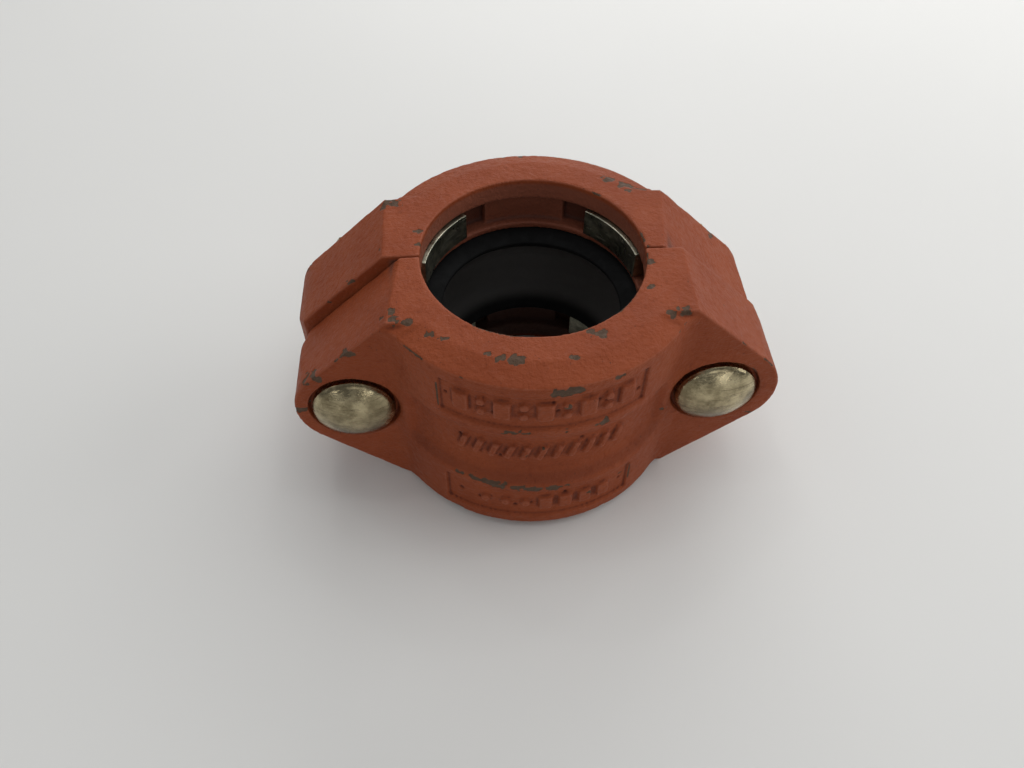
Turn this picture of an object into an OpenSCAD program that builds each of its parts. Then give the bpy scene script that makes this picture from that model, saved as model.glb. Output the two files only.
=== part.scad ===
// Bolted coupling for plain-end steel pipe, 2 1/2 inch nominal size.
// Two matching cast halves close around a C-shaped rubber gasket and are drawn together by two
// track-head bolts with hexagon nuts. Each half holds four bent steel grips in pockets near its ends.
// The origin is the middle of the coupling: +Z along the pipe, +X towards a bolt, -Y towards the heads.

/* [Pipe] */
// Outside diameter of the pipe that the coupling joins
pipe_od = 73; // [72:0.1:74]
// Gap between the pipe and the end bores, on each side
lip_gap = 0.8; // [0.5:0.1:1.2]

/* [Housing] */
// Length of the coupling along the pipe
length = 84; // [82:0.5:92]
// Outside diameter of the body at its two raised ends
body_od = 111; // [109:0.5:114]
// Outside diameter of the waist between them
waist_od = 103.2; // [101:0.2:105]
// Height of the straight part of the waist
waist_h = 15; // [10:0.5:18]
// Height from flare to flare, where the waist meets the raised ends
flare_h = 30.6; // [26:0.2:34]
// Diameter of the flat end face
face_od = 94; // [90:0.5:98]
// How far the sloped shoulder drops from the end face to the outer wall
shoulder_drop = 3; // [1:0.5:5]
// Gap between the two halves at rest
split_gap = 0.6; // [0.4:0.1:1]

/* [Panels] */
// Angle that each sunk panel spans around the wall
panel_angle = 72; // [40:2:80]
// Depth of the sunk panels
panel_depth = 1.1; // [0.4:0.1:1.4]
// Height of each panel
panel_h = 16; // [12:0.5:18]
// Height of the rib left between the waist and each panel
panel_rib = 3.2; // [2:0.1:4]

/* [Ears] */
// Distance between the two bolt axes
bolt_span = 125.2; // [122:0.2:130]
// Radius of the round lobe around each bolt
lobe_r = 21; // [19:0.5:22]
// Depth of each ear from the middle plane to its bolt face
ear_depth = 29.4; // [27:0.2:32]
// Width of the ears' flat end, tip to tip
ear_flat_w = 97; // [92:0.5:102]
// How far each half's ears sit off its centre line, as cast
ear_shift = 0.95; // [0:0.05:1.5]
// How far the ears' outer ends draw in at the split
end_cut = 4.5; // [1:0.5:6]
// Distance from the split over which they draw in
end_run = 12; // [8:1:16]
// How far the slopes of one ear of each half fall towards the split, as cast
ear_draft = 2.7; // [0.5:0.1:3.5]
// Radius of the upright fillet between ear and body
ear_fillet = 9; // [6:0.5:11]

/* [Inside] */
// Radius of the cavity that holds the gasket
cavity_r = 47; // [46.6:0.1:47.4]
// Height of the gasket cavity
cavity_h = 39.6; // [38:0.2:40]
// Thickness of the wall between cavity and grip groove
ledge_t = 2.6; // [2:0.1:3]
// Height of each grip groove
groove_h = 11.2; // [10.6:0.1:12]
// Radius of the groove between its pockets
land_r = 40.5; // [39:0.1:41.5]
// Radius of the pockets that the grips lie in
pocket_r = 43.3; // [43:0.1:44]
// Angle of each pocket, from the split towards the middle of the half
pocket_angle = 69; // [66:1:72]

/* [Gasket] */
// Gap between the gasket and its cavity, all round
gasket_gap = 0.3; // [0.2:0.05:0.5]
// Inside radius of the gasket's web
web_r = 40.5; // [39:0.5:42]
// Radius at the toe of each sealing lip
toe_r = 31.2; // [31:0.1:32]

/* [Grips] */
// Radius to the bend in the middle of a grip's inner face
grip_bend_r = 36; // [35.8:0.1:36.5]
// Radius to the two ends of a grip's inner face
grip_end_r = 36.7; // [36.5:0.1:37]
// Angle that a grip spans
grip_angle = 46; // [40:1:48]
// Gap around a grip in its pocket
grip_gap = 0.3; // [0.2:0.05:0.4]

/* [Bolts] */
// Thread diameter, 5/8 inch
bolt_d = 15.875; // [15:0.125:16]
// Length from under the head to the thread's end
bolt_l = 80; // [76:0.5:82]
// Diameter of the domed head
head_d = 28.2; // [27:0.1:29]
// Height of the head's straight side
head_side = 3.3; // [2.5:0.1:4]
// Height of the dome above it
dome_h = 5; // [3:0.5:7]
// Diameter of the recess around the head
recess_d = 31.2; // [30.6:0.1:32]
// Depth of that recess
recess_h = 2.5; // [2:0.1:3.5]
// Diameter of the spot face under each nut
spot_d = 32.4; // [32:0.1:33]
// Depth of that spot face
spot_h = 0.5; // [0.2:0.1:1]
// Width of the oval neck under the head, across the ear
neck_w = 20; // [18:0.5:21]
// Length of the neck
neck_l = 6; // [4:0.5:8]
// Gap around the neck in its oval hole
hole_gap = 0.8; // [0.5:0.1:1]
// Size of the nut across its flats
nut_af = 27; // [26:0.1:27.2]
// Thickness of the nut
nut_h = 15.5; // [14:0.1:16]
// Running gap between nut and thread, on the radius
thread_gap = 0.05; // [0.03:0.01:0.09]

/* [Hidden] */
$fn = 96;
far = 200;
bore_r = pipe_od / 2 + lip_gap;
half_l = length / 2;
bolt_x = bolt_span / 2;
groove_z = cavity_h / 2 + ledge_t;
groove_mid = groove_z + groove_h / 2;
grip_h = groove_h - 2 * grip_gap;
grip_back_r = pocket_r - grip_gap;
panel_z = flare_h / 2 + panel_rib;
head_seat_y = recess_h - ear_depth;
nut_seat_y = ear_depth - spot_h;
nut_bore_r = bolt_d / 2 + thread_gap;

// Where each grip lies at rest: the angle of its middle from +X, and its end of the coupling
upper = 1;
lower = -1;
rear_upper_grip = 31.5;
rear_lower_grip = 35;
front_upper_grip = 45;
front_lower_grip = 35;

// Where the straight edge of an ear touches the round lobe
edge_run = bolt_x - ear_flat_w / 2;
edge_len = sqrt(edge_run ^ 2 + half_l ^ 2 - lobe_r ^ 2);
edge_turn = asin(lobe_r / sqrt(edge_run ^ 2 + half_l ^ 2)) - atan2(half_l, edge_run);
touch_x = ear_flat_w / 2 + edge_len * cos(edge_turn);
touch_z = half_l + edge_len * sin(edge_turn);

// Centre of the upright fillet: clear of the ear face and of the body by its own radius
fillet_y = ear_depth + ear_fillet;
fillet_x = sqrt((body_od / 2 + ear_fillet) ^ 2 - fillet_y ^ 2);

// Solid of the body's outer profile, before anything is cut away
module body_blank() {
    rotate_extrude() polygon([
        [0, -half_l],
        [face_od / 2, -half_l],
        [body_od / 2, shoulder_drop - half_l],
        [body_od / 2, -flare_h / 2],
        [waist_od / 2, -waist_h / 2],
        [waist_od / 2, waist_h / 2],
        [body_od / 2, flare_h / 2],
        [body_od / 2, half_l - shoulder_drop],
        [face_od / 2, half_l],
        [0, half_l]
    ]);
}

// Outline of both ears seen along Y, drawn to a given depth towards -Y
module ears_blank(depth) {
    translate([ear_shift, 0, 0]) {
        rotate([90, 0, 0]) linear_extrude(depth) polygon([
            [-ear_flat_w / 2, half_l], [ear_flat_w / 2, half_l],
            [touch_x, touch_z], [bolt_x, 0], [touch_x, -touch_z],
            [ear_flat_w / 2, -half_l], [-ear_flat_w / 2, -half_l],
            [-touch_x, -touch_z], [-bolt_x, 0], [-touch_x, touch_z]
        ]);
        for (side = [-1, 1])
            translate([side * bolt_x, 0, 0]) rotate([90, 0, 0]) cylinder(h = depth, r = lobe_r);
    }
}

// Solid under the fillets' tops, which carry the shoulders' slope on outwards a little higher up
module under_fillet_tops() {
    inner = face_od / 2 + 2;
    outer = body_od / 2 + ear_fillet;
    drop = shoulder_drop * (outer - inner) / (body_od / 2 - face_od / 2);
    rotate_extrude() polygon([
        [0, -half_l], [inner, -half_l], [outer, drop - half_l],
        [outer, half_l - drop], [inner, half_l], [0, half_l]
    ]);
}

// Upright fillets in the two corners between the ears' bolt faces and the body
module ear_fillets() {
    reach = body_od / 2 + ear_fillet;
    intersection() {
        ears_blank(fillet_y);
        under_fillet_tops();
        difference() {
            for (side = [-1, 1]) linear_extrude(length, center = true) polygon([
                [side * fillet_x * 0.7, -ear_depth],
                [side * fillet_x, -ear_depth],
                [side * fillet_x, -fillet_y],
                [side * fillet_x * body_od / 2 / reach, -fillet_y * body_od / 2 / reach]
            ]);
            for (side = [-1, 1])
                translate([side * fillet_x, -fillet_y, 0])
                    cylinder(h = length + 2, r = ear_fillet, center = true);
        }
    }
}

// Slanted cuts that draw the ears' outer ends in towards the split
module ear_end_cuts() {
    end_x = bolt_x + lobe_r;
    for (side = [-1, 1])
        translate([ear_shift, 0, 0]) linear_extrude(3 * lobe_r, center = true) polygon([
            [side * (end_x - end_cut), 1],
            [side * (end_x - end_cut), 0],
            [side * (end_x - end_cut / 3), -end_run / 2],
            [side * (end_x + end_cut / 3), -end_run * 3 / 2],
            [side * (end_x + end_cut), 1]
        ]);
}

// Slanted cuts that lower the upper and lower slopes of the ear on the -X side towards the split
module ear_slope_cuts() {
    for (end = [0, 1])
        mirror([0, 0, end]) translate([ear_shift, 0, 0]) mirror([1, 0, 0])
            translate([ear_flat_w / 2, 0, half_l]) rotate([0, -90 - edge_turn, 0])
                translate([0, 0, -edge_len * 2]) linear_extrude(edge_len * 3) polygon([
                    [-ear_draft, 1],
                    [-ear_draft, 0],
                    [ear_draft, -2 * ear_depth],
                    [ear_draft * 2, 1]
                ]);
}

// Outline of a grip groove: round, with a deeper pocket on each side of the front half
module groove_outline() {
    reach = pocket_r * 1.5;
    circle(land_r);
    for (side = [-1, 1])
        intersection() {
            circle(pocket_r);
            polygon([
                [0, 0], [side * reach, 0],
                [side * reach * cos(pocket_angle / 2), -reach * sin(pocket_angle / 2)],
                [side * reach * cos(pocket_angle), -reach * sin(pocket_angle)]
            ]);
        }
}

// The way through for the pipe: end bores, grip grooves with their pockets, and gasket cavity
module inside() {
    cylinder(h = length + 2, r = bore_r, center = true);
    cylinder(h = cavity_h, r = cavity_r, center = true);
    for (z1 = [groove_z, -groove_z - groove_h])
        translate([0, 0, z1]) linear_extrude(groove_h) groove_outline();
}

// Sunk panels in the outer wall, above and below the waist
module panels() {
    for (z1 = [panel_z, -panel_z - panel_h])
        rotate([0, 0, -90 - panel_angle / 2]) rotate_extrude(angle = panel_angle)
            translate([body_od / 2 - panel_depth, z1]) square([panel_depth + 1, panel_h]);
}

// Oval bar along Y, from y1 towards +Y
module oval(width, height, y1, depth) {
    straight = width - height;
    translate([0, y1, 0]) {
        translate([-straight / 2, 0, -height / 2]) cube([straight, depth, height]);
        for (side = [-1, 1])
            translate([side * straight / 2, 0, 0]) rotate([-90, 0, 0]) cylinder(h = depth, d = height);
    }
}

// Round seats sunk in the ears' bolt faces, and cut clear of the fillets
module seats(diameter, depth) {
    for (side = [-1, 1])
        translate([side * bolt_x, depth - ear_depth, 0])
            rotate([90, 0, 0]) cylinder(h = depth + ear_fillet, d = diameter);
}

// One half of the housing, as it sits at the front, before its seats are cut
module casting() {
    difference() {
        union() {
            intersection() {
                body_blank();
                ears_blank(body_od);
            }
            ears_blank(ear_depth);
            ear_fillets();
        }
        translate([-far / 2, -split_gap / 2, -far / 2]) cube(far);
        ear_end_cuts();
        ear_slope_cuts();
        inside();
        panels();
        for (side = [-1, 1])
            translate([side * bolt_x, 0, 0])
                oval(neck_w + 2 * hole_gap, bolt_d + 2 * hole_gap, -ear_depth - 1, ear_depth + 1);
    }
}

module rear_housing() {
    color("orangered") rotate([0, 0, 180]) difference() {
        casting();
        seats(spot_d, spot_h);
    }
}

module front_housing() {
    color("tomato") difference() {
        casting();
        seats(recess_d, recess_h);
    }
}

// C-shaped ring: a thick web against the housing and two lips that lean inwards
module gasket() {
    r = cavity_r - gasket_gap;
    h = cavity_h / 2 - gasket_gap;
    lip_side = [[36.2, h], [33, h - 0.9], [toe_r, h - 2], [toe_r + 0.2, h - 3.3]];
    cavity_side = [[35, h - 7.2], [38.5, h - 10.5], [web_r, h - 15.5]];
    upper_half = concat(lip_side, cavity_side);
    last = len(upper_half) - 1;
    lower_half = [for (i = [last : -1 : 0]) [upper_half[i].x, -upper_half[i].y]];
    color("dimgray") rotate_extrude()
        polygon(concat([[r, -h], [r, h]], upper_half, lower_half));
}

// Bent plate whose middle points towards the given angle, at one end of the coupling
module grip(middle, end) {
    edge = [cos(grip_angle / 2), sin(grip_angle / 2)];
    color("silver") rotate([0, 0, middle])
        translate([0, 0, end * groove_mid - grip_h / 2])
            intersection() {
                cylinder(h = grip_h, r = grip_back_r);
                linear_extrude(grip_h) polygon([
                    [grip_bend_r, 0],
                    [grip_end_r * edge.x, -grip_end_r * edge.y],
                    [pocket_r * 1.3 * edge.x, -pocket_r * 1.3 * edge.y],
                    [pocket_r * 1.3 * edge.x, pocket_r * 1.3 * edge.y],
                    [grip_end_r * edge.x, grip_end_r * edge.y]
                ]);
            }
}

// Track-head bolt: domed head at the front, oval neck, round shank to the rear
module bolt(side) {
    dome_r = ((head_d / 2) ^ 2 + dome_h ^ 2) / 2 / dome_h;
    end_chamfer = 1.5;
    color("lightsteelblue") translate([side * bolt_x, head_seat_y, 0]) {
        rotate([90, 0, 0]) cylinder(h = head_side, d = head_d);
        intersection() {
            translate([0, dome_r - head_side - dome_h, 0]) sphere(dome_r);
            rotate([90, 0, 0]) cylinder(h = head_side + dome_h, d = head_d);
        }
        oval(neck_w, bolt_d, 0, neck_l);
        rotate([-90, 0, 0]) {
            cylinder(h = bolt_l - end_chamfer, d = bolt_d);
            translate([0, 0, bolt_l - end_chamfer])
                cylinder(h = end_chamfer, d1 = bolt_d, d2 = bolt_d - 2 * end_chamfer);
        }
    }
}

// Hexagon nut with chamfered corners, seated on the rear ear's spot face
module nut(side) {
    corner_r = nut_af / sqrt(3);
    chamfer = (corner_r - nut_af / 2) / 2;
    color("lightsteelblue") translate([side * bolt_x, nut_seat_y, 0]) rotate([-90, 0, 0])
        difference() {
            intersection() {
                cylinder(h = nut_h, r = corner_r, $fn = 6);
                rotate_extrude() polygon([
                    [0, 0], [nut_af / 2, 0], [corner_r, chamfer],
                    [corner_r, nut_h - chamfer], [nut_af / 2, nut_h], [0, nut_h]
                ]);
            }
            translate([0, 0, -1]) cylinder(h = nut_h + 2, r = nut_bore_r);
        }
}

rear_housing();
front_housing();
gasket();
grip(180 - rear_upper_grip, upper);  // grip_rear_upper_left
grip(rear_upper_grip, upper);  // grip_rear_upper_right
grip(180 - rear_lower_grip, lower);  // grip_rear_lower_left
grip(rear_lower_grip, lower);  // grip_rear_lower_right
grip(180 + front_upper_grip, upper);  // grip_front_upper_left
grip(-front_upper_grip, upper);  // grip_front_upper_right
grip(180 + front_lower_grip, lower);  // grip_front_lower_left
grip(-front_lower_grip, lower);  // grip_front_lower_right
bolt(-1);  // bolt_left
bolt(1);  // bolt_right
nut(-1);  // nut_left
nut(1);  // nut_right
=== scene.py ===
# Looks of a bolted pipe coupling: painted castings, a rubber gasket, steel grips, zinc bolts and nuts.
import math

import bmesh
import bpy
import numpy as np
from mathutils import Matrix, Vector


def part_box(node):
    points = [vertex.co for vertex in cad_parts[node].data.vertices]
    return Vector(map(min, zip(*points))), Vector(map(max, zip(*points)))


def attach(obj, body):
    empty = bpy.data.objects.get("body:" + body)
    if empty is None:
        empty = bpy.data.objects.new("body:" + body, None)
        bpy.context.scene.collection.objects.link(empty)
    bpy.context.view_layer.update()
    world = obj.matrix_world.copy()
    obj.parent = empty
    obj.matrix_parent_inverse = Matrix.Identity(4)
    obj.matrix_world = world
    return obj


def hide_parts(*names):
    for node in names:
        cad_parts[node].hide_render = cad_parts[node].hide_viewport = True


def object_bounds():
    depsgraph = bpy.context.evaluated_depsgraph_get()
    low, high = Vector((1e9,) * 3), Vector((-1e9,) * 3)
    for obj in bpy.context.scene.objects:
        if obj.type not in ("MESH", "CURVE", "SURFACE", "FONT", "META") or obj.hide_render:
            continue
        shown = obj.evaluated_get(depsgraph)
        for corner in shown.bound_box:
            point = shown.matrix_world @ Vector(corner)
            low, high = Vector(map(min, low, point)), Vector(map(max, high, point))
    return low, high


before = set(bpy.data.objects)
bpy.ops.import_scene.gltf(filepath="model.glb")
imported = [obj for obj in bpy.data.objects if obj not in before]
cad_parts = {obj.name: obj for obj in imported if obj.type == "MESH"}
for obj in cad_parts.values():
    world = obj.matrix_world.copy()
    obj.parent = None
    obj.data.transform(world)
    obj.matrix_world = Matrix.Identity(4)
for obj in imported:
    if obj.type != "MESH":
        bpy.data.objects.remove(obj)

MM = 0.001
cad_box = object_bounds()
floor_z = cad_box[0].z


# ---------------------------------------------------------------- meshes

def mesh_from(name, points, faces):
    """A mesh from points in metres and faces, with its normals outward."""
    mesh = bpy.data.meshes.new(name)
    mesh.from_pydata([tuple(p) for p in points], [], [tuple(int(i) for i in f) for f in faces])
    bm = bmesh.new()
    bm.from_mesh(mesh)
    bmesh.ops.recalc_face_normals(bm, faces=bm.faces)
    bm.to_mesh(mesh)
    bm.free()
    return mesh


def shade(mesh, sharp_angle=math.radians(40)):
    """Smooth shading, broken where faces meet more sharply than this."""
    mesh.shade_smooth()
    mesh.set_sharp_from_angle(angle=sharp_angle)


def applied(mesh, *modifiers):
    """The mesh after modifiers, each given as (type, settings)."""
    helper = bpy.data.objects.new("helper", mesh)
    bpy.context.scene.collection.objects.link(helper)
    for kind, settings in modifiers:
        modifier = helper.modifiers.new(kind.lower(), kind)
        for key, value in settings.items():
            setattr(modifier, key, value)
    depsgraph = bpy.context.evaluated_depsgraph_get()
    result = bpy.data.meshes.new_from_object(helper.evaluated_get(depsgraph))
    bpy.data.objects.remove(helper)
    return result


def add_piece(node, body, mesh, material):
    """Puts a finished mesh in the scene in place of a CAD node."""
    piece = bpy.data.objects.new("looks_" + node, mesh)
    bpy.context.scene.collection.objects.link(piece)
    mesh.materials.clear()
    mesh.materials.append(material)
    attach(piece, body)
    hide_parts(node)


def value_noise(points, size, seed):
    """Smooth noise from 0 to 1 at points, with lumps about as wide as size."""
    table = np.random.default_rng(seed).random(1 << 16)
    scaled = points / size
    cell = np.floor(scaled).astype(np.int64)
    t = scaled - cell
    t = t * t * (3 - 2 * t)
    total = np.zeros(len(points))
    for corner in np.ndindex(2, 2, 2):
        at = cell + corner
        key = (at[:, 0] * 73856093) ^ (at[:, 1] * 19349663) ^ (at[:, 2] * 83492791)
        weight = np.prod(np.where(np.array(corner) == 1, t, 1 - t), axis=1)
        total += weight * table[key & 0xFFFF]
    return total


def smoothstep(low, high, x):
    """0 at low, 1 at high and smooth between them. Low may be the larger."""
    t = np.clip((x - low) / (high - low), 0, 1)
    return t * t * (3 - 2 * t)


def rounded_loop(corners, radius, steps=5):
    """A closed outline of (a, b) corners with each corner replaced by a small curve."""
    points = []
    count = len(corners)
    for i, corner in enumerate(corners):
        here = np.array(corner, float)
        before = np.array(corners[i - 1], float) - here
        after = np.array(corners[(i + 1) % count], float) - here
        reach = min(radius, 0.45 * np.linalg.norm(before), 0.45 * np.linalg.norm(after))
        start = here + before / np.linalg.norm(before) * reach
        end = here + after / np.linalg.norm(after) * reach
        for k in range(steps + 1):
            s = k / steps
            points.append((1 - s) ** 2 * start + 2 * s * (1 - s) * here + s * s * end)
    return points


def ring_faces(n, segments):
    """Faces that join segments, each an outline of n points, into a closed ring."""
    faces = []
    for s in range(segments):
        here, there = s * n, (s + 1) % segments * n
        for k in range(n):
            following = (k + 1) % n
            faces.append((here + k, there + k, there + following, here + following))
    return faces


def turned_ring(outline, segments):
    """A closed outline of (radius, height) points turned about Z."""
    angles = np.linspace(0, 2 * np.pi, segments, endpoint=False)
    outline = np.array(outline)
    points = [
        (r * math.cos(a), r * math.sin(a), z) for a in angles for r, z in outline
    ]
    return points, ring_faces(len(outline), segments)


def add_prism(bm, outline, along):
    """A closed prism from an outline of 3-D points, moved along a vector. Returns its vertices."""
    ring = [bm.verts.new(p) for p in outline]
    base = bm.faces.new(ring)
    top = bmesh.ops.extrude_face_region(bm, geom=[base])["geom"]
    lifted = [v for v in top if isinstance(v, bmesh.types.BMVert)]
    bmesh.ops.translate(bm, verts=lifted, vec=along)
    return ring + lifted


# ---------------------------------------------------------------- materials

class Nodes:
    """Short calls for building a material's nodes."""

    def __init__(self, name):
        self.material = bpy.data.materials.new(name)
        self.material.use_nodes = True
        self.tree = self.material.node_tree
        self.tree.nodes.clear()
        output = self.add("ShaderNodeOutputMaterial")
        self.shader = self.add("ShaderNodeBsdfPrincipled")
        self.tree.links.new(self.shader.outputs[0], output.inputs[0])
        self.place = self.add("ShaderNodeTexCoord").outputs["Object"]

    def add(self, kind, settings=(), **inputs):
        node = self.tree.nodes.new(kind)
        for key, value in dict(settings).items():
            setattr(node, key, value)
        for key, value in inputs.items():
            self.put(node.inputs[key.replace("_", " ")], value)
        return node

    def put(self, socket, value):
        if isinstance(value, bpy.types.NodeSocket):
            self.tree.links.new(value, socket)
        else:
            socket.default_value = value

    def round_axis(self):
        """Distance from the pipe axis and height along it, in metres."""
        flat = self.add("ShaderNodeMapping", Scale=(1, 1, 0))
        self.put(flat.inputs["Vector"], self.place)
        distance = self.add("ShaderNodeVectorMath", {"operation": "LENGTH"})
        self.put(distance.inputs[0], flat.outputs[0])
        return distance.outputs["Value"], self.add("ShaderNodeSeparateXYZ", Vector=self.place).outputs["Z"]

    def noise(self, scale, detail=2.0, roughness=0.5, place=None):
        node = self.add("ShaderNodeTexNoise", Scale=scale, Detail=detail, Roughness=roughness)
        self.put(node.inputs["Vector"], place or self.place)
        return node.outputs["Fac"]

    def math(self, operation, a, b=0.0, c=0.0):
        node = self.add("ShaderNodeMath", {"operation": operation})
        for socket, value in zip(node.inputs, (a, b, c)):
            self.put(socket, value)
        return node.outputs[0]

    def ramp(self, value, low, high, to_low=0.0, to_high=1.0):
        node = self.add("ShaderNodeMapRange", {"interpolation_type": "SMOOTHSTEP"})
        for socket, number in zip(node.inputs, (value, low, high, to_low, to_high)):
            self.put(socket, number)
        return node.outputs[0]

    def mix(self, factor, a, b):
        node = self.add("ShaderNodeMix", {"data_type": "RGBA"})
        self.put(node.inputs[0], factor)
        self.put(node.inputs[6], a)
        self.put(node.inputs[7], b)
        return node.outputs[2]

    def bump(self, height, distance, below=None):
        node = self.add("ShaderNodeBump", Height=height, Distance=distance)
        if below:
            self.put(node.inputs["Normal"], below)
        return node.outputs[0]

    def set(self, **inputs):
        for key, value in inputs.items():
            self.put(self.shader.inputs[key.replace("_", " ")], value)
        return self.material


def colour(r, g, b):
    return (r, g, b, 1.0)


def housing_paint():
    """Matte orange-red paint on cast iron, chipped to brown metal where the chip channel of the vertex
    attribute says, with painted shade in hollows, and edges paler as worn paint and painted highlight.
    """
    n = Nodes("housing_paint")
    wear_and_painted_light = n.add("ShaderNodeAttribute", {"attribute_name": "wear_and_painted_light", "attribute_type": "GEOMETRY"})
    parts = n.add("ShaderNodeSeparateColor", Color=wear_and_painted_light.outputs["Color"])
    chip, hollow_shade, edge = parts.outputs
    # Where the paint is gone, with ragged edges
    fine = n.noise(1500, 3.0, 0.6)
    ragged = n.math("MULTIPLY", n.math("SUBTRACT", fine, 0.5), 0.5)
    chipped = n.ramp(n.math("ADD", chip, ragged), 0.42, 0.56)
    # The paint: clouds, specks, edges paler as worn paint and painted highlight, hollows darker as painted
    # shade, pits and dust
    cloud = n.noise(45, 4.0, 0.55)
    speck = n.noise(420, 3.0, 0.6)
    paint = n.mix(n.ramp(cloud, 0.35, 0.68), colour(0.258, 0.052, 0.015), colour(0.292, 0.062, 0.0185))
    paint = n.mix(n.ramp(speck, 0.56, 0.75, 0.0, 0.4), paint, colour(0.17, 0.035, 0.014))
    # Worn paint and painted highlight: convex edges lightened
    paint = n.mix(n.ramp(edge, 0.25, 0.8, 0.0, 0.4), paint, colour(0.36, 0.11, 0.06))
    # Painted shade: hollows darkened
    paint = n.mix(n.math("MULTIPLY", hollow_shade, 0.75), paint, colour(0.075, 0.012, 0.005))
    pits = n.ramp(n.noise(900, 2.0, 0.5), 0.7, 0.78, 0.0, 0.7)
    paint = n.mix(pits, paint, colour(0.05, 0.018, 0.011))
    dust = n.ramp(n.noise(160, 5.0, 0.7), 0.6, 0.78, 0.0, 0.16)
    paint = n.mix(dust, paint, colour(0.36, 0.13, 0.065))
    # Painted shade inside the bore, greyer and darker towards the bottom, and darkest in the pockets
    from_axis, height = n.round_axis()
    within_ends = n.ramp(n.math("ABSOLUTE", height), 0.041, 0.0395)
    inside = n.math("MULTIPLY", n.ramp(from_axis, 0.0485, 0.0455), within_ends)
    bore_shade = n.math("MULTIPLY", inside, n.ramp(height, -0.02, 0.02, 0.9, 0.4))
    bore_shade_tone = n.mix(n.ramp(height, -0.02, 0.02), colour(0.1, 0.06, 0.048), colour(0.21, 0.105, 0.08))
    paint = n.mix(bore_shade, paint, bore_shade_tone)
    # Painted shade darkening the pockets
    pocket_shade = n.math("MULTIPLY", inside, n.ramp(from_axis, 0.0415, 0.0428, 0.0, 0.6))
    paint = n.mix(pocket_shade, paint, colour(0.05, 0.02, 0.015))
    iron = n.mix(n.noise(700, 3.0, 0.6), colour(0.045, 0.024, 0.013), colour(0.14, 0.083, 0.05))
    grain = n.bump(n.noise(650, 4.0, 0.62), 0.0006)
    grain = n.bump(n.noise(2400, 2.0, 0.5), 0.00008, grain)
    lifted = n.bump(n.math("SUBTRACT", 1.0, chipped), 0.00012, grain)
    rough = n.ramp(speck, 0.3, 0.7, 0.5, 0.66)
    return n.set(
        Base_Color=n.mix(chipped, paint, iron), Roughness=rough, Normal=lifted, Specular_IOR_Level=0.2
    )


def gasket_rubber():
    """Black moulded rubber with faint bloom, and painted light that makes its cavity paler than the lips.
    """
    n = Nodes("gasket_rubber")
    bloom = n.ramp(n.noise(60, 4.0, 0.6), 0.45, 0.75)
    tone = n.mix(bloom, colour(0.007, 0.0073, 0.0075), colour(0.012, 0.0125, 0.013))
    from_axis, height = n.round_axis()
    between_lips = n.ramp(n.math("ABSOLUTE", height), 0.0165, 0.0135)
    # Painted light: the cavity between the lips is made paler, against the shade that falls there
    cavity_light = n.math("MULTIPLY", n.ramp(from_axis, 0.0325, 0.0365), between_lips)
    tone = n.mix(cavity_light, tone, colour(0.095, 0.093, 0.09))
    skin = n.bump(n.noise(1800, 3.0, 0.6), 0.00006)
    rough = n.ramp(n.noise(300, 3.0, 0.5), 0.3, 0.7, 0.6, 0.8)
    return n.set(Base_Color=tone, Roughness=rough, Normal=skin, Specular_IOR_Level=0.1)


def scratched_metal(name, light, dark, stain, rough_low, rough_high):
    """Plated steel with clouds in its plating, small stains and crossing scratches."""
    n = Nodes(name)
    cloud = n.ramp(n.noise(140, 5.0, 0.65), 0.35, 0.68)
    tone = n.mix(cloud, colour(*dark), colour(*light))
    spots = n.ramp(n.noise(620, 4.0, 0.65), 0.62, 0.74, 0.0, 0.75)
    tone = n.mix(spots, tone, colour(*stain))
    scratches = []
    for turn, scale in ((0.6, 1.0), (2.2, 1.3), (1.3, 0.7)):
        stretch = (60 * scale, 60 * scale, 2400 * scale)
        mapping = n.add("ShaderNodeMapping", Rotation=(0.3, turn, 0.2), Scale=stretch)
        n.put(mapping.inputs["Vector"], n.place)
        lines = n.noise(1.0, 2.0, 0.5, mapping.outputs[0])
        scratches.append(n.ramp(lines, 0.66, 0.74))
    cuts = n.math("MAXIMUM", scratches[0], n.math("MAXIMUM", scratches[1], scratches[2]))
    tone = n.mix(n.math("MULTIPLY", cuts, 0.45), tone, colour(*stain))
    rough = n.ramp(n.noise(260, 4.0, 0.6), 0.3, 0.7, rough_low, rough_high)
    rough = n.math("ADD", rough, n.math("MULTIPLY", cuts, 0.12))
    normal = n.bump(n.noise(900, 4.0, 0.6), 0.00009)
    normal = n.bump(n.math("SUBTRACT", 1.0, cuts), 0.00005, normal)
    return n.set(Base_Color=tone, Roughness=rough, Normal=normal, Metallic=1.0)


def plain_floor():
    """Pale matte floor."""
    n = Nodes("floor_paint")
    tone = n.mix(n.noise(6, 2.0, 0.5), colour(0.775, 0.77, 0.745), colour(0.805, 0.80, 0.775))
    return n.set(Base_Color=tone, Roughness=0.75)


# ---------------------------------------------------------------- castings

voxel = 0.55 * MM
rounding_steps = 4
# Radii of the outer wall, the waist and the sunk panels
wall_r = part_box("rear_housing")[1].y
waist_r = 51.6 * MM
panel_r = wall_r - 1.1 * MM
# Heights of the three rows of marks in mm, and the full depth of a mark, most of it inside the wall
ROWS = (27.3, 1.2, -26)
MARK_DEPTH = 4 * MM


def on_wall(turn, radius, azimuth, z, proud):
    """Where a raised mark stands on the outer wall. Azimuth is counted from the middle of the half."""
    return (
        Matrix.Rotation(turn + math.radians(azimuth), 4, "Z")
        @ Matrix.Translation((0, -(radius + proud - MARK_DEPTH / 2), z))
    )


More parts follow.
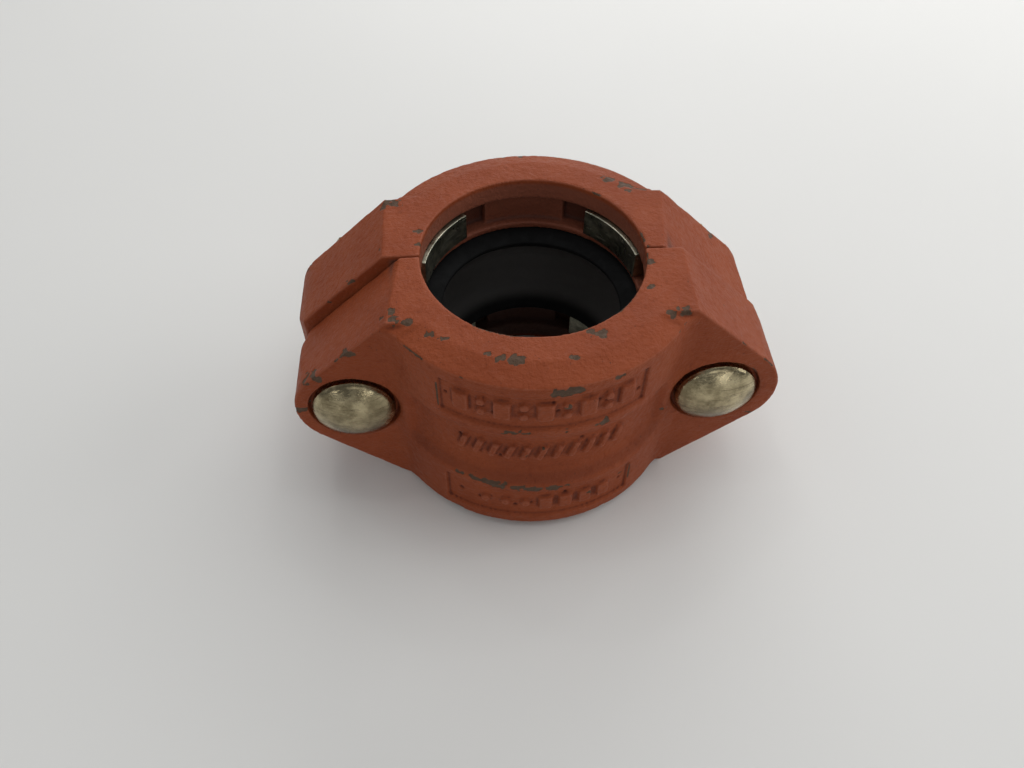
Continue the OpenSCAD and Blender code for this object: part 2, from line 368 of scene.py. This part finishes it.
def block(bm, turn, radius, azimuth, z, width, height, proud, lean=0.0):
    """Raised bar on the outer wall."""
    place = (
        on_wall(turn, radius, azimuth, z, proud)
        @ Matrix.Rotation(math.radians(lean), 4, "Y")
        @ Matrix.Diagonal((width, MARK_DEPTH, height, 1))
    )
    bmesh.ops.create_cube(bm, size=1, matrix=place)


def stud(bm, turn, radius, azimuth, z, width, proud):
    """Raised round stud on the outer wall."""
    place = on_wall(turn, radius, azimuth, z, proud) @ Matrix.Rotation(math.radians(90), 4, "X")
    bmesh.ops.create_cone(
        bm, cap_ends=True, segments=20, radius1=width / 2, radius2=width / 2, depth=MARK_DEPTH, matrix=place
    )


def add_marks(bm, turn):
    """Three rows of plain raised pads, studs and slanted bars, which carry no lettering."""
    proud = 1.4 * MM
    upper, middle, lower = ROWS
    for i in range(-4, 5):
        azimuth = i * 7.0
        if i % 2:
            for rise in (-2.3, 2.3):
                stud(bm, turn, panel_r, azimuth, (upper + rise) * MM, 3.0 * MM, proud)
        else:
            block(bm, turn, panel_r, azimuth, upper * MM, 5.2 * MM, 7.6 * MM, proud)
    for i in range(-5, 6):
        block(bm, turn, waist_r, i * 5.9, middle * MM, 2.2 * MM, 7.4 * MM, proud, lean=18)
    for i in range(-3, 4):
        azimuth = i * 7.4 + 2
        if i < 0:
            stud(bm, turn, panel_r, azimuth, lower * MM, 3.2 * MM, proud)
        else:
            block(bm, turn, panel_r, azimuth, lower * MM, 4.6 * MM, 6.6 * MM, proud)


def edge_ends(mesh):
    """The first vertex of every edge, and the second."""
    ends = np.empty(len(mesh.edges) * 2, np.int64)
    mesh.edges.foreach_get("vertices", ends)
    return ends.reshape(-1, 2).T


def curvature(mesh, points, normals):
    """How sharply the surface bends at each vertex, in 1/m and blurred, above 0 on outward edges."""
    a, b = edge_ends(mesh)
    along = points[b] - points[a]
    square = np.maximum((along ** 2).sum(1), 1e-12)
    bend = np.zeros(len(points))
    count = np.bincount(a, minlength=len(points)) + np.bincount(b, minlength=len(points))
    np.add.at(bend, a, -2 * (normals[a] * along).sum(1) / square)
    np.add.at(bend, b, 2 * (normals[b] * along).sum(1) / square)
    bend /= count
    for _ in range(3):
        near = np.bincount(a, bend[b], len(points)) + np.bincount(b, bend[a], len(points))
        bend = 0.4 * bend + 0.6 * near / count
    return bend


# Places of the larger chips on each half, in mm, with how far each reaches
CHIPS = {
    "front_housing": [
        (-61, -29, 28, 2.4), (-77, -29, 14, 3.0), (-74, -29, 17, 3.0), (-80, -29, 1, 2.8),
        (-46, -24, 42, 1.3), (-49, -25, 41, 1.2), (-45, -28, 42, 1.5), (-41, -29, 42, 1.2),
        (-34, -34, 42, 1.5), (-30, -36, 42, 1.4), (-17, -43, 42, 1.1), (-13, -45, 42, 1.2),
        (-9, -46, 42, 1.8), (9, -46, 42, 1.0), (3, -55, 37, 2.4), (8, -55, 37, 3.0),
        (22, -51, 38, 1.6), (17, -37, 42, 1.9), (41, -30, 42, 1.3), (45, -28, 42, 1.9),
        (37, -7, 42, 1.6), (36, -18, 42, 1.3), (44, -33, -5, 1.6), (18, -52, 17, 2.4),
        (-11, -54, 17, 2.2), (-27, -47, -15, 1.6), (-22, -50, -15, 2.0), (-18, -52, -15, 2.2),
        (-13, -53, -16, 3.2), (-9, -54, -16, 2.8), (-5, -55, -16, 3.2), (-1, -55, -16, 2.8),
        (3, -55, -16, 2.6), (7, -55, -16, 1.8), (67, -33, 8, 1.2),
        (77, -29, -13, 1.6), (-30, -46, -39, 2.6), (22, -51, -40, 2.4),
    ],
    "rear_housing": [
        (38, 31, 42, 2.4), (35, 33, 42, 2.6), (30, 36, 42, 2.0), (-38, 12, 42, 1.2),
        (-38, 6, 42, 1.2), (-47, 27, 42, 2.4), (-78, 29, 12, 3.2), (-60, 29, 29, 2.6),
        (0, 55, 38, 3.0), (-6, 55, 37, 3.6), (16, 53, -16, 3.6), (22, 51, -15, 3.0),
        (-20, 52, 16, 2.6), (68, 29, 22, 3.2), (80, 29, -4, 2.6), (44, 33, 6, 2.0),
        (-26, 49, -39, 3.4), (10, 54, -40, 2.4),
    ],
}


def spot_chips(points, spots, seed):
    """From 0 to 1: chips at the given spots, flatter than they are wide, with ragged outlines."""
    ragged = value_noise(points, 1.1 * MM, seed) + value_noise(points, 2.4 * MM, seed + 1) - 1
    chip = np.zeros(len(points))
    for x, y, z, reach in spots:
        away = (points / MM - (x, y, z)) * (0.8, 1.1, 2.2 if abs(z) < 41 else 1.0) / reach
        chip = np.maximum(chip, smoothstep(-0.1, 0.3, 1 - np.linalg.norm(away, axis=1) + 1.5 * ragged))
    return chip


def on_marks(points):
    """True within the three rows of marks."""
    x, y, z = (points / MM).T
    in_row = np.min([np.abs(z - row) for row in ROWS], axis=0) < 5
    return in_row & (np.abs(x) < 0.62 * np.abs(y)) & (np.abs(y) > 40)


def wear_and_painted_light_colours(mesh, points, normals, node, seed):
    """Chips in red, painted shade of hollows in green, and edges in blue, which the paint lightens as worn
    paint and painted highlight.
    """
    bend = curvature(mesh, points, normals)
    edge = smoothstep(150, 600, bend)
    # Painted shade for concave places
    hollow_shade = smoothstep(70, 480, -bend)
    r, z = np.hypot(points[:, 0], points[:, 1]) / MM, points[:, 2] / MM
    # Painted shade in the crease above the flare, added to the hollows
    flare_crease_shade = smoothstep(3.5, 1.0, np.abs(z + 12.5))
    flare_crease_shade *= smoothstep(50.8, 51.3, r) * smoothstep(55.3, 54.5, r)
    hollow_shade = np.maximum(hollow_shade, 0.3 * flare_crease_shade)
    patch = 0.65 * value_noise(points, 13 * MM, seed) + 0.35 * value_noise(points, 5 * MM, seed + 1)
    crumbs = value_noise(points, 1.9 * MM, seed + 2)
    rubbed = smoothstep(0.34, 0.55, edge * (0.35 + patch) * (0.55 + 0.9 * crumbs) - 0.12)
    rubbed *= smoothstep(0.58, 0.66, patch) * smoothstep(1.5 * MM, 4 * MM, np.abs(points[:, 1]))
    rubbed *= 1 - 0.8 * on_marks(points)
    specks = value_noise(points, 2.4 * MM, seed + 3)
    fleck = smoothstep(0.85, 0.9, 0.7 * specks + 0.3 * patch + 0.1 * edge)
    chip = np.maximum.reduce([rubbed, fleck, spot_chips(points, CHIPS[node], seed + 7)])
    return np.stack([chip, hollow_shade, edge, np.ones(len(points))], axis=1)


def pinholes(points, turn, seed):
    """From 0 to 1: small blow-holes in the metal around the rows of marks."""
    chance = np.random.default_rng(seed)
    hole = np.zeros(len(points))
    for radius, height in ((panel_r, 27), (waist_r, 1), (panel_r, -26)):
        for azimuth in np.radians(np.arange(-30, 31, 7.5)):
            a = turn + azimuth + 0.06 * chance.standard_normal()
            z = height + 2.4 * chance.standard_normal()
            reach = chance.uniform(0.65, 1.17) * MM
            centre = np.array((radius * math.sin(a), -radius * math.cos(a), z * MM))
            away = np.linalg.norm(points - centre, axis=1) / reach
            hole = np.maximum(hole, smoothstep(1, 0.4, away))
    return hole


def soften_corners(mesh, points):
    """Blends the waist and the seats' side walls into the fillets beside each ear."""
    a, b = edge_ends(mesh)
    x, y, z = np.abs(points / MM).T
    # Only beside the ears, outside their bolt faces and between the shoulders
    weight = smoothstep(35, 39, x) * smoothstep(29.6, 30.2, y) * smoothstep(22, 17, z)
    chosen = np.flatnonzero(weight > 0)
    touching = weight[a] + weight[b] > 0
    a, b = a[touching], b[touching]
    count = np.bincount(a, minlength=len(points)) + np.bincount(b, minlength=len(points))
    count = np.maximum(count, 1)
    for _ in range(40):
        total = np.stack([
            np.bincount(a, points[b, k], len(points)) + np.bincount(b, points[a, k], len(points))
            for k in range(3)
        ], axis=1)
        move = total / count[:, None] - points
        points[chosen] += weight[chosen, None] * move[chosen]
    return points


def cast_skin(points, chip, hole, seed):
    """Height of the rough skin in mm: waves, lumps and grain, with chips and blow-holes sunk in it."""
    skin = 0.22 * (value_noise(points, 11 * MM, seed + 4) - 0.5)
    skin += 0.10 * (value_noise(points, 3.1 * MM, seed + 5) - 0.5)
    skin += 0.07 * (value_noise(points, 1.5 * MM, seed + 6) - 0.5)
    skin -= 0.16 * chip + 0.7 * hole
    # The pockets and the cavity are smoother than the outside
    r, z = np.hypot(points[:, 0], points[:, 1]) / MM, points[:, 2] / MM
    return skin * (1 - 0.7 * smoothstep(47, 45, r) * smoothstep(40, 37, np.abs(z)))


def cast_half(node, turn, seed):
    """One housing half: the CAD solid with its marks, remeshed with rounded edges and a rough cast skin."""
    bm = bmesh.new()
    bm.from_mesh(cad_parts[node].data)
    bmesh.ops.remove_doubles(bm, verts=bm.verts, dist=0.002 * MM)
    add_marks(bm, turn)
    solid = bpy.data.meshes.new(node)
    bm.to_mesh(solid)
    bm.free()
    mesh = applied(
        solid,
        ("REMESH", {"mode": "VOXEL", "voxel_size": voxel}),
        ("SMOOTH", {"factor": 0.5, "iterations": rounding_steps}),
    )
    count = len(mesh.vertices)
    points = np.empty(count * 3)
    mesh.vertices.foreach_get("co", points)
    points = soften_corners(mesh, points.reshape(-1, 3))
    mesh.vertices.foreach_set("co", points.ravel())
    mesh.update()
    normals = np.empty(count * 3)
    mesh.vertices.foreach_get("normal", normals)
    normals = normals.reshape(-1, 3)
    wear_and_painted_light = wear_and_painted_light_colours(mesh, points, normals, node, seed)
    hole = pinholes(points, turn, seed + 8)
    # Blow-holes get stronger painted shade than other hollows
    wear_and_painted_light[:, 1] = np.maximum(wear_and_painted_light[:, 1], 1.6 * hole)
    skin = cast_skin(points, wear_and_painted_light[:, 0], hole, seed)
    points += normals * (skin * MM)[:, None]
    # Flat where it stands on the floor
    points[:, 2] = np.maximum(points[:, 2], floor_z)
    mesh.vertices.foreach_set("co", points.ravel())
    # The attribute holds chips, painted shade of hollows, and edges lightened as worn paint and painted
    # highlight
    layer = mesh.color_attributes.new("wear_and_painted_light", "FLOAT_COLOR", "POINT")
    layer.data.foreach_set("color", wear_and_painted_light.ravel())
    mesh.shade_smooth()
    return mesh


# ---------------------------------------------------------------- gasket, grips, bolts, nuts

def gasket_ring():
    """C-shaped rubber ring with soft edges, open towards the bore between its two lips."""
    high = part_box("gasket")[1]
    r, h = high.x / MM, high.z / MM
    upper = [
        (36.2, h), (33.0, h - 0.9), (31.2, h - 2.0), (31.4, h - 3.3),
        (35.0, h - 7.2), (38.5, h - 10.5), (40.5, h - 15.5),
    ]
    lower = [(a, -b) for a, b in reversed(upper)]
    outline = rounded_loop([(r, -h), (r, h)] + upper + lower, 1.4)
    points, faces = turned_ring(np.array(outline) * MM, 256)
    mesh = mesh_from("gasket", points, faces)
    shade(mesh, math.radians(60))
    return mesh


def bent_grip(node):
    """Bent steel plate with a concave inner face, at the angle where its CAD solid lies."""
    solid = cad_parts[node].data
    points = np.array([v.co for v in solid.vertices])
    middle = math.atan2(points[:, 1].mean(), points[:, 0].mean())
    low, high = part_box(node)
    half = math.radians(22.6)
    back_r, steps = 42.9 * MM, 12
    turns = [half * (2 * k / steps - 1) for k in range(steps + 1)]
    inner = [((36.05 + 0.25 * (a / half) ** 2) * MM, a) for a in reversed(turns)]
    outline = [(r * math.cos(a), r * math.sin(a)) for r, a in inner + [(back_r, a) for a in turns]]
    bm = bmesh.new()
    add_prism(bm, [(x, y, low.z) for x, y in outline], (0, 0, high.z - low.z))
    bmesh.ops.recalc_face_normals(bm, faces=bm.faces)
    bmesh.ops.transform(bm, matrix=Matrix.Rotation(middle, 4, "Z"), verts=bm.verts)
    mesh = bpy.data.meshes.new(node)
    bm.to_mesh(mesh)
    bm.free()
    mesh = applied(
        mesh,
        ("BEVEL", {
            "width": 0.35 * MM, "segments": 3, "limit_method": "ANGLE", "angle_limit": math.radians(30),
        }),
    )
    shade(mesh)
    return mesh


PITCH = 25.4 / 11 * MM
SHANK_R = 15.875 / 2 * MM


def thread_radius(angle, y, start, end):
    """Radius of the shank at an angle and distance: plain, then threaded, then chamfered."""
    phase = (y / PITCH - angle / (2 * np.pi)) % 1
    cut = smoothstep(0.1, 0.44, np.abs(phase - 0.5))
    depth = 1.25 * MM * smoothstep(start, start + 2 * PITCH, y)
    radius = SHANK_R - 0.02 * MM - depth * (1 - cut)
    return np.minimum(radius, SHANK_R - np.maximum(0, y - (end - 1.6 * MM)))


def bolt(node):
    """Track-head bolt: domed head, oval neck, shank with a real helical thread."""
    low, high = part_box(node)
    centre_x = (low.x + high.x) / 2
    head_r = (high.x - low.x) / 2
    dome_edge_r = head_r * 0.975
    tip, end = low.y, high.y
    seat = tip + 8.3 * MM
    rim = tip + 5.0 * MM
    dome_h = rim - tip
    dome_r = (head_r ** 2 + dome_h ** 2) / 2 / dome_h
    segments = 96
    angles = np.linspace(0, 2 * np.pi, segments, endpoint=False)
    # The head as (distance, radius): dome, rounded rim, straight side and underside
    rows = []
    for s in np.linspace(0, 1, 14)[1:]:
        a = s * math.asin(dome_edge_r / dome_r)
        rows.append((tip + dome_r * (1 - math.cos(a)), dome_r * math.sin(a)))
    for s in np.linspace(0.2, 1, 5):
        a = s * math.pi / 2
        along = rim + 0.15 * MM + 0.5 * MM * math.sin(a) * s
        rows.append((along, dome_edge_r + (head_r - dome_edge_r) * math.sin(a)))
    rows += [
        (seat - 0.5 * MM, head_r), (seat - 0.15 * MM, head_r - 0.1 * MM),
        (seat, head_r - 0.5 * MM), (seat, SHANK_R),
    ]
    # The shank as one radius per angle in each row, so that the thread can wind round it
    grid = [np.full(segments, r) for _, r in rows]
    heights = [y for y, _ in rows]
    thread_start = seat + 30 * MM
    fine = np.arange(thread_start, end, PITCH / 12)
    for y in [seat + 2 * MM, *fine, end]:
        heights.append(y)
        grid.append(thread_radius(angles, y, thread_start, end))
    points = [(centre_x, tip, 0)]
    for y, radii in zip(heights, grid):
        points += [
            (centre_x + r * math.sin(a), y, r * math.cos(a)) for a, r in zip(angles, radii)
        ]
    points.append((centre_x, end, 0))
    last = len(points) - 1
    last_ring = last - segments
    faces = []
    for s in range(segments):
        following = (s + 1) % segments
        faces.append((0, 1 + s, 1 + following))
        faces.append((last, last_ring + following, last_ring + s))
        for k in range(len(heights) - 1):
            a, b = 1 + k * segments, 1 + (k + 1) * segments
            faces.append((a + s, b + s, b + following, a + following))
    mesh = mesh_from(node, points, faces)
    bm = bmesh.new()
    bm.from_mesh(mesh)
    add_neck(bm, centre_x, seat)
    bm.to_mesh(mesh)
    bm.free()
    shade(mesh, math.radians(50))
    return mesh


def add_neck(bm, centre_x, seat):
    """The oval neck under the head, as a closed solid that stands just proud of the shank."""
    half_w, r, length, steps = 10 * MM, SHANK_R + 0.01 * MM, 6 * MM, 16
    outline = []
    for side in (1, -1):
        for k in range(steps + 1):
            a = side * math.pi / 2 - math.pi * k / steps
            outline.append((centre_x + side * (half_w - r) + r * math.cos(a), r * math.sin(a)))
    neck = set(add_prism(bm, [(x, seat - 0.2 * MM, z) for x, z in outline], (0, length, 0)))
    neck_faces = [f for f in bm.faces if set(f.verts) <= neck]
    bmesh.ops.recalc_face_normals(bm, faces=neck_faces)


def nut(node):
    """Hexagon nut with turned chamfers, a countersunk bore and softened edges."""
    low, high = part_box(node)
    centre_x = (low.x + high.x) / 2
    flats = high.z - low.z
    height = high.y - low.y
    per_side = 16
    segments = 6 * per_side
    bore_r = SHANK_R + 0.05 * MM
    sink = 0.9 * MM
    chamfer_r = flats / 2 * 0.965
    points = []
    for s in range(segments):
        a = 2 * math.pi * s / segments
        into = (a + math.pi / 6) % (math.pi / 3) - math.pi / 6
        edge_r = flats / 2 / math.cos(math.pi / 6 - abs(into))
        drop = max(0.0, edge_r - chamfer_r) * math.tan(math.radians(30))
        rows = [
            (bore_r, sink), (bore_r + sink, 0), (chamfer_r, 0), (edge_r, drop),
            (edge_r, height - drop), (chamfer_r, height), (bore_r + sink, height), (bore_r, height - sink),
        ]
        points += [(centre_x + r * math.cos(a), low.y + y, r * math.sin(a)) for r, y in rows]
    mesh = mesh_from(node, points, ring_faces(len(points) // segments, segments))
    mesh = applied(
        mesh,
        ("BEVEL", {
            "width": 0.3 * MM, "segments": 3, "limit_method": "ANGLE", "angle_limit": math.radians(25),
        }),
    )
    shade(mesh, math.radians(35))
    return mesh


# ---------------------------------------------------------------- the coupling

paint = housing_paint()
rubber = gasket_rubber()
grip_metal = scratched_metal(
    "grip_steel", light=(0.6, 0.58, 0.45), dark=(0.26, 0.26, 0.2), stain=(0.1, 0.08, 0.05),
    rough_low=0.25, rough_high=0.4,
)
bolt_metal = scratched_metal(
    "bolt_zinc", light=(0.53, 0.45, 0.28), dark=(0.225, 0.185, 0.108), stain=(0.1, 0.065, 0.035),
    rough_low=0.14, rough_high=0.32,
)

add_piece("rear_housing", "rear_housing", cast_half("rear_housing", math.pi, 21), paint)
add_piece("front_housing", "front_housing", cast_half("front_housing", 0.0, 57), paint)
add_piece("gasket", "gasket", gasket_ring(), rubber)
for half in ("rear", "front"):
    for end in ("upper", "lower"):
        for side in ("left", "right"):
            name = f"grip_{half}_{end}_{side}"
            add_piece(name, name, bent_grip(name), grip_metal)
for side in ("left", "right"):
    add_piece("bolt_" + side, "bolt_" + side, bolt("bolt_" + side), bolt_metal)
    add_piece("nut_" + side, "nut_" + side, nut("nut_" + side), bolt_metal)


# ---------------------------------------------------------------- floor, lights, camera

def add_floor():
    """Square floor under the coupling."""
    half = 3.0
    mesh = mesh_from(
        "floor",
        [(-half, -half, floor_z), (half, -half, floor_z), (half, half, floor_z), (-half, half, floor_z)],
        [(0, 1, 2, 3)],
    )
    floor = bpy.data.objects.new("floor", mesh)
    bpy.context.scene.collection.objects.link(floor)
    mesh.materials.append(plain_floor())


def add_light(name, place, target, width, height, power):
    """Rectangular lamp, aimed at its target."""
    light = bpy.data.lights.new(name, "AREA")
    light.shape = "RECTANGLE"
    light.size, light.size_y = width, height
    light.energy = power
    lamp = bpy.data.objects.new(name, light)
    lamp.location = place
    lamp.rotation_euler = (Vector(target) - Vector(place)).to_track_quat("-Z", "Y").to_euler()
    bpy.context.scene.collection.objects.link(lamp)


def add_camera():
    """Camera at the photo's viewpoint, rolled slightly as the photo is."""
    place, target = Vector((-0.0211, -0.20206, 0.22911)), Vector((-0.008, -0.02191, 0.0))
    camera = bpy.data.objects.new("camera", bpy.data.cameras.new("camera"))
    camera.data.lens = 29.18
    camera.data.sensor_width = 36
    camera.data.clip_start = 0.01
    camera.location = place
    aim = (target - place).to_track_quat("-Z", "Y").to_matrix()
    roll = Matrix.Rotation(math.radians(0.64), 3, "Z")
    camera.rotation_euler = (aim @ roll).to_euler()
    bpy.context.scene.collection.objects.link(camera)
    bpy.context.scene.camera = camera


add_floor()
add_light("overhead", (0.15, 0.3, 1.1), (0, 0, 0), 1.4, 1.0, 4.1)
add_light("right_side", (1.05, 0.15, 0.52), (0, 0, 0), 0.9, 0.6, 4.4)
add_light("left_side", (-1.0, 0.15, 0.8), (0, 0, 0), 0.9, 0.7, 1.6)
add_light("back_wash", (0.2, 0.95, 0.5), (0.0, 0.5, 0), 1.0, 0.3, 4.4)
add_light("front_fill", (0.2, -1.2, 0.9), (0, 0.1, 0), 1.0, 0.7, 1.65)
for place in ((-0.25, 0.15, 1.2), (0.3, 0.1, 1.2), (-0.3, 0.6, 1.2), (0.35, 0.6, 1.2)):
    add_light("ceiling_lamp", place, (0, 0, 0), 0.07, 0.07, 0.3)
for place in ((-0.75, -1.0, 0.3), (0.6, -1.1, 0.25), (0.35, -1.2, 0.15)):
    add_light("low_lamp", place, (0, 0, 0), 0.14, 0.14, 0.43)
world = bpy.data.worlds.new("room")
world.use_nodes = True
world.node_tree.nodes["Background"].inputs["Color"].default_value = colour(0.95, 0.97, 1.0)
world.node_tree.nodes["Background"].inputs["Strength"].default_value = 0.2
bpy.context.scene.world = world
bpy.context.scene.view_settings.view_transform = "Standard"
add_camera()
